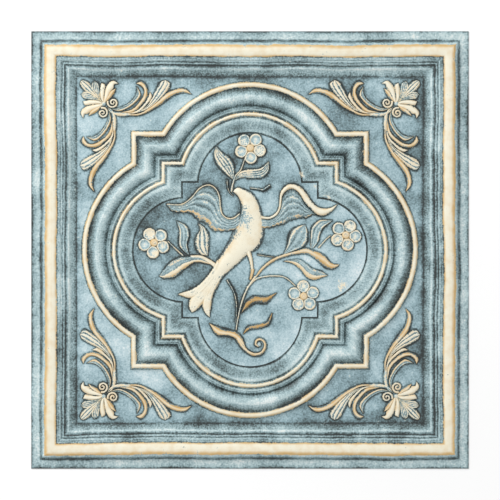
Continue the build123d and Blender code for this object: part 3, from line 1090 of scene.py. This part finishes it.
def antique_paint(name, colours, brushing, cloudy, mottled, grainy):
    """PVC sheet, hand painted: blue base, dark wash wiped into the hollows, pale and gilt dry brushing.
    The last four tell how strongly streaks, clouds, mottles and grain change its tone."""
    material = bpy.data.materials.new(name)
    material.use_nodes = True
    tree = material.node_tree
    tree.nodes.clear()
    paints = bpy.context.scene.tile_paint
    place = node(tree, "ShaderNodeTexCoord").outputs["Object"]
    tone = node(tree, "ShaderNodeAttribute", {"attribute_name": "tone"}).outputs["Fac"]
    cream = node(tree, "ShaderNodeAttribute", {"attribute_name": "cream"}).outputs["Fac"]
    gold = node(tree, "ShaderNodeAttribute", {"attribute_name": "gold"}).outputs["Fac"]

    patterns = []
    for millimetres, detail in (CLOUDS, MOTTLES, GRAINS):
        made = node(tree, "ShaderNodeTexNoise", Vector=place, Scale=1 / (millimetres * MM), Detail=detail)
        patterns.append(node(tree, "ShaderNodeMath", SUBTRACTED, i0=made, i1=0.5))
    cloud, mottle, grain = patterns

    level = node(tree, "ShaderNodeMath", SCALED_SUM, i0=cloud, i1=cloudy, i2=tone)
    level = node(tree, "ShaderNodeMath", SCALED_SUM, i0=mottle, i1=mottled, i2=level)
    level = node(tree, "ShaderNodeMath", SCALED_SUM, i0=grain, i1=grainy, i2=level)
    if brushing:
        streaks = brush_streaks(tree, place)
        level = node(tree, "ShaderNodeMath", SCALED_SUM, i0=streaks, i1=brushing, i2=level)
    shade = node(tree, "ShaderNodeMapRange", Value=level, i1=DARKEST, i2=-DARKEST)
    washed = node(tree, "ShaderNodeValToRGB", Fac=shade)
    fill_ramp(washed.color_ramp, colours)

    gilding = node(tree, "ShaderNodeMath", SCALED_SUM, i0=mottle, i1=GILT_MOTTLE, i2=gold)
    gilding = node(tree, "ShaderNodeMath", MULTIPLIED, i0=gilding, i1=0.5)
    raised = node(tree, "ShaderNodeValToRGB", Fac=gilding)
    fill_ramp(raised.color_ramp, ((0.0, paints.cream), (0.5, paints.pale_gilt), (1.0, paints.old_gilt)))

    worn = node(tree, "ShaderNodeMath", SCALED_SUM, i0=grain, i1=CREAM_WEAR, i2=cream)
    worn = node(tree, "ShaderNodeMath", SCALED_SUM, i0=mottle, i1=CREAM_WEAR, i2=worn)
    smoothed = {"interpolation_type": "SMOOTHSTEP"}
    cover = node(tree, "ShaderNodeMapRange", smoothed, Value=worn, i1=COVER_FROM, i2=COVER_TO)
    colour = node(tree, "ShaderNodeMix", {"data_type": "RGBA"}, i0=cover, i6=washed, i7=raised)

    relief = node(tree, "ShaderNodeMath", SCALED_SUM, i0=grain, i1=0.5, i2=mottle)
    bump = node(tree, "ShaderNodeBump", Height=relief, Strength=PAINT_BUMP, Distance=PAINT_DEPTH)
    shader = node(
        tree, "ShaderNodeBsdfPrincipled",
        Base_Color=colour.outputs[2], Roughness=PAINT_ROUGHNESS, IOR=PAINT_IOR, Normal=bump,
    )
    node(tree, "ShaderNodeOutputMaterial", Surface=shader)
    return material


def lightly_brushed_pvc():
    # Gives the eye a chalky, clouded blue, with faint marks of the brush across the border
    return antique_paint("lightly_brushed_pvc", GREYED, brushing=0.5, cloudy=2.4, mottled=1.0, grainy=2.3)


def dry_brushed_pvc():
    # Gives the eye a broken, streaky blue, since a nearly dry brush catches only the high spots
    return antique_paint("dry_brushed_pvc", GREYED, brushing=0.9, cloudy=2.4, mottled=0.9, grainy=2.0)


def hand_painted_pvc():
    # Gives the eye soft, uneven cream and gilt over blue, thin at the edges where the wash shows
    return antique_paint("hand_painted_pvc", GREYED, brushing=0.0, cloudy=1.0, mottled=1.2, grainy=2.0)


def soft_washed_pvc():
    # Gives the eye a smooth, satin blue, cloudy from wiping and dark where the wash has settled
    return antique_paint("soft_washed_pvc", BLUED, brushing=0.0, cloudy=2.8, mottled=0.7, grainy=1.6)


def white_paper():
    # Gives the eye an even, shadow-catching white: to the camera it also glows a little
    paper = bpy.data.materials.new("white_paper")
    paper.use_nodes = True
    tree = paper.node_tree
    tree.nodes.clear()
    diffuse = node(tree, "ShaderNodeBsdfDiffuse", Color=linear("#efefef"))
    glow = node(tree, "ShaderNodeEmission", Color=linear("#ffffff"), Strength=0.2)
    path = node(tree, "ShaderNodeLightPath")
    seen = node(tree, "ShaderNodeMixShader", i0=path.outputs["Is Camera Ray"], i2=glow)
    both = node(tree, "ShaderNodeAddShader", i0=diffuse, i1=seen)
    node(tree, "ShaderNodeOutputMaterial", Surface=both)
    return paper


# Stage: floor, light and camera, in metres, with the width of the camera's sensor in millimetres

FLOOR_SIZE = 12
KEY_PLACE = (-1.4, 1.5, 1.3)
KEY_SIZE = 0.9
SENSOR_WIDTH = 36


def lay_floor():
    """Lays a white floor under the tile."""
    deselect_all()
    bpy.ops.mesh.primitive_plane_add(size=FLOOR_SIZE, location=(0, 0, 0))
    floor = bpy.context.object
    floor.name = "floor"
    floor.data.materials.append(white_paper())


def light_world(fill):
    """Lights the tile softly from all round, while the camera and reflections see plain white."""
    world = bpy.data.worlds.new("soft_box")
    bpy.context.scene.world = world
    world.use_nodes = True
    tree = world.node_tree
    tree.nodes.clear()
    path = node(tree, "ShaderNodeLightPath")
    seen = node(
        tree, "ShaderNodeMath", {"operation": "MAXIMUM"},
        i0=path.outputs["Is Camera Ray"], i1=path.outputs["Is Glossy Ray"],
    )
    strength = node(tree, "ShaderNodeMapRange", Value=seen, i3=fill, i4=1.0)
    light = node(tree, "ShaderNodeBackground", Color=linear("#ffffff"), Strength=strength)
    node(tree, "ShaderNodeOutputWorld", Surface=light)


def hang_lamp(power):
    """Hangs a soft lamp to the upper left, turned to the middle of the tile."""
    bpy.ops.object.light_add(type="AREA", location=KEY_PLACE)
    key = bpy.context.object
    key.name = "key_lamp"
    key.data.energy = power
    key.data.size = KEY_SIZE
    key.rotation_euler = (-key.location).to_track_quat("-Z", "Y").to_euler()


def set_camera(height, lens):
    """Sets the camera straight above, looking down."""
    bpy.ops.object.camera_add(location=(0, 0, height), rotation=(0, 0, 0))
    camera = bpy.context.object
    camera.data.lens = lens
    camera.data.sensor_width = SENSOR_WIDTH
    bpy.context.scene.camera = camera
    bpy.context.scene.view_settings.view_transform = "Standard"


class TileReliefSettings(bpy.types.PropertyGroup):
    """Heights of the raised ornament above its sheet"""

    leaf_rise: bpy.props.FloatProperty(
        name="Leaf rise", description="Height of a leaf above its sheet", default=2.2 * MM, unit="LENGTH"
    )
    stem_rise: bpy.props.FloatProperty(
        name="Stem rise", description="Height of a stem above the panel", default=1.9 * MM, unit="LENGTH"
    )
    body_rise: bpy.props.FloatProperty(
        name="Body rise", description="Height of the bird's body", default=3.6 * MM, unit="LENGTH"
    )
    wing_rise: bpy.props.FloatProperty(
        name="Wing rise", description="Height of the bird's near wing", default=2.4 * MM, unit="LENGTH"
    )
    rim_rise: bpy.props.FloatProperty(
        name="Rim rise", description="Height of the near wing's rim and of the tail", default=2.9 * MM,
        unit="LENGTH",
    )


class TilePaintSettings(bpy.types.PropertyGroup):
    """Colours of the paint on the raised parts"""

    cream: bpy.props.FloatVectorProperty(
        name="Cream", description="Colour of full cream", default=linear("#f5efd9"), size=4, subtype="COLOR"
    )
    pale_gilt: bpy.props.FloatVectorProperty(
        name="Pale gilt", description="Colour of thin gilt", default=linear("#dcba82"), size=4,
        subtype="COLOR",
    )
    old_gilt: bpy.props.FloatVectorProperty(
        name="Old gilt", description="Colour of thick gilt", default=linear("#a9823f"), size=4,
        subtype="COLOR",
    )


class TileStageSettings(bpy.types.PropertyGroup):
    """Lamp, light from all round and camera"""

    camera_height: bpy.props.FloatProperty(
        name="Camera height", description="Height of the camera above the floor", default=2.586, unit="LENGTH"
    )
    lens: bpy.props.FloatProperty(name="Lens", description="Focal length in millimetres", default=135.0)
    key_power: bpy.props.FloatProperty(
        name="Key power", description="Power of the raking lamp", default=31.0, unit="POWER"
    )
    fill: bpy.props.FloatProperty(
        name="Fill", description="Strength of the light from all round", default=0.72
    )


class TILE_OT_mouldings(bpy.types.Operator):
    """Sweep the square border and the barbed quatrefoil"""

    bl_idname = "tile.mouldings"
    bl_label = "Mouldings"

    def execute(self, context):
        border = swept_moulding(
            "border_moulding", BORDER_FORM, BORDER_PAINT, border_place, BORDER_STATIONS, BORDER_STRAY
        )
        finish_piece(border, lightly_brushed_pvc())
        foil = swept_moulding(
            "quatrefoil_moulding", FOIL_FORM, FOIL_PAINT, foil_place, FOIL_STATIONS, FOIL_STRAY
        )
        finish_piece(foil, dry_brushed_pvc())
        return {"FINISHED"}


class TILE_OT_foliage(bpy.types.Operator):
    """Raise the leaves, the stems and the scroll at their foot"""

    bl_idname = "tile.foliage"
    bl_label = "Foliage"

    def execute(self, context):
        leaf_rise = context.scene.tile_relief.leaf_rise / MM
        stem_rise = context.scene.tile_relief.stem_rise / MM
        parts = []
        for left, right, section in LEAVES:
            parts.append(blade(left, right, section, leaf_rise, PANEL_RISE, rows=LEAF_ROWS))
        for points, width, section in STEMS:
            parts.append(ribbon(points, width, section, stem_rise, PANEL_RISE))
        parts.append(ribbon(SCROLL, SCROLL_WIDTH, GILT_LEAF, leaf_rise, PANEL_RISE, rows=48, taper=0.45))
        parts.append(disc(SCROLL_EYE, KNOT_RINGS, PANEL_RISE, sides=16))
        finish_piece(join(parts, "foliage"), hand_painted_pvc(), ORNAMENT_CREASE)
        return {"FINISHED"}


class TILE_OT_blossoms(bpy.types.Operator):
    """Raise the four blossoms, each of five petals and a button"""

    bl_idname = "tile.blossoms"
    bl_label = "Blossoms"

    def execute(self, context):
        parts = []
        for middle, turn in BLOSSOMS:
            for number, more_cream in enumerate(PETAL_CREAM):
                angle = math.radians(turn + 360 / len(PETAL_CREAM) * number)
                parts.append(petal(middle, angle, more_cream))
            parts.append(disc(middle, BUTTON_RINGS, PANEL_RISE, sides=18))
        finish_piece(join(parts, "blossoms"), bpy.data.materials["hand_painted_pvc"], ORNAMENT_CREASE)
        return {"FINISHED"}


class TILE_OT_bird(bpy.types.Operator):
    """Raise the bird: its wings, body and tail"""

    bl_idname = "tile.bird"
    bl_label = "Bird"

    def execute(self, context):
        relief = context.scene.tile_relief
        wing_rise, rim_rise = relief.wing_rise / MM, relief.rim_rise / MM
        wing = {"rows": 56, "ends": (0, 0.08), "ruffle": RUFFLE}
        parts = [
            blade(LEFT_WING_LEAD, LEFT_WING_TRAIL, PLUMES, wing_rise, PANEL_RISE, **wing),
            ribbon(LEFT_WING_LEAD, 3.0, RIM, rim_rise, PANEL_RISE, rows=60, taper=0.3),
            blade(RIGHT_BAND_IN[:13], RIGHT_WING_TRAIL, PLUMES, wing_rise - OVERLAP_STEP, PANEL_RISE, **wing),
            blade(
                RIGHT_BAND_OUT, RIGHT_BAND_IN, BAND, rim_rise + OVERLAP_STEP, PANEL_RISE,
                rows=60, ends=(0, 0.04),
            ),
            blade(
                BODY_LEFT, BODY_RIGHT, BODY, relief.body_rise / MM, PANEL_RISE,
                rows=44, ends=(0.2, 0.08), wear=breast_wear,
            ),
        ]
        for left, right in TAIL:
            parts.append(blade(left, right, FEATHER, rim_rise, PANEL_RISE, rows=26, ends=(0, 0.1)))
        finish_piece(join(parts, "bird"), bpy.data.materials["hand_painted_pvc"], ORNAMENT_CREASE)
        return {"FINISHED"}


class TILE_OT_corners(bpy.types.Operator):
    """Raise the acanthus sprays in the four corners of the field"""

    bl_idname = "tile.corners"
    bl_label = "Corner sprays"

    def execute(self, context):
        rise = context.scene.tile_relief.leaf_rise / MM
        parts = []
        for left, right, section, both in SPRAY:
            for mirrored in (False, True) if both else (False,):
                left_edge = [corner_point(point, mirrored) for point in left]
                right_edge = [corner_point(point, mirrored) for point in right]
                parts.append(blade(left_edge, right_edge, section, rise, 0.0, rows=LEAF_ROWS))
        parts += [volute(False, rise), volute(True, rise)]
        parts.append(disc(corner_point(KNOT, False), KNOT_RINGS, 0.0, sides=16))
        sprays = [join(parts, "corner_spray")]
        for quarter in range(1, 4):
            spray = copied(sprays[0])
            spray.data.transform(Matrix.Rotation(math.pi / 2 * quarter, 4, "Z"))
            sprays.append(spray)
        finish_piece(join(sprays, "corner_sprays"), bpy.data.materials["hand_painted_pvc"], ORNAMENT_CREASE)
        return {"FINISHED"}


class TILE_OT_sheets(bpy.types.Operator):
    """Lay the flat field and the panel, with the wash round their ornament"""

    bl_idname = "tile.sheets"
    bl_label = "Flat sheets"

    def execute(self, context):
        material = soft_washed_pvc()
        copies = [copied(bpy.data.objects[name]) for name in ("foliage", "blossoms", "bird")]
        mould = join(copies, "centre_mould")
        panel_edge = outline_of(foil_place, PANEL_RADIUS, FOIL_STATIONS)
        panel = flat_sheet("centre_panel", [panel_edge], mould, in_panel, PANEL_RISE, panel_wash)
        finish_piece(panel, material)
        bpy.data.objects.remove(mould)
        outlines = [
            outline_of(border_place, BORDER_WIDTH, BORDER_STATIONS),
            outline_of(foil_place, FOIL_FOOT, FOIL_STATIONS),
        ]
        field = flat_sheet("field", outlines, bpy.data.objects["corner_sprays"], in_field, 0.0, field_wash)
        finish_piece(field, material)
        return {"FINISHED"}


class TILE_OT_stage(bpy.types.Operator):
    """Set the floor, the light and the camera"""

    bl_idname = "tile.stage"
    bl_label = "Stage"

    def execute(self, context):
        settings = context.scene.tile_stage
        lay_floor()
        light_world(settings.fill)
        hang_lamp(settings.key_power)
        set_camera(settings.camera_height, settings.lens)
        return {"FINISHED"}


STEPS = (
    TILE_OT_mouldings, TILE_OT_foliage, TILE_OT_blossoms, TILE_OT_bird, TILE_OT_corners, TILE_OT_sheets,
    TILE_OT_stage,
)
SETTINGS = {
    "tile_relief": TileReliefSettings,
    "tile_paint": TilePaintSettings,
    "tile_stage": TileStageSettings,
}


class TILE_PT_panel(bpy.types.Panel):
    """Lists the steps of the tile and its settings"""

    bl_label = "Ceiling tile"
    bl_idname = "TILE_PT_panel"
    bl_space_type = "VIEW_3D"
    bl_region_type = "UI"
    bl_category = "Tile"

    def draw(self, context):
        for name, group in SETTINGS.items():
            for entry in group.__annotations__:
                self.layout.prop(getattr(context.scene, name), entry)
        for step in STEPS:
            self.layout.operator(step.bl_idname)


CLASSES = (*SETTINGS.values(), *STEPS, TILE_PT_panel)


def register():
    for entry in CLASSES:
        bpy.utils.register_class(entry)
    for name, group in SETTINGS.items():
        setattr(bpy.types.Scene, name, bpy.props.PointerProperty(type=group))


def unregister():
    for name in SETTINGS:
        delattr(bpy.types.Scene, name)
    for entry in reversed(CLASSES):
        bpy.utils.unregister_class(entry)


def main():
    register()
    bpy.ops.tile.mouldings()
    bpy.ops.tile.foliage()
    bpy.ops.tile.blossoms()
    bpy.ops.tile.bird()
    bpy.ops.tile.corners()
    bpy.ops.tile.sheets()
    bpy.ops.tile.stage()


if __name__ == "__main__":
    main()
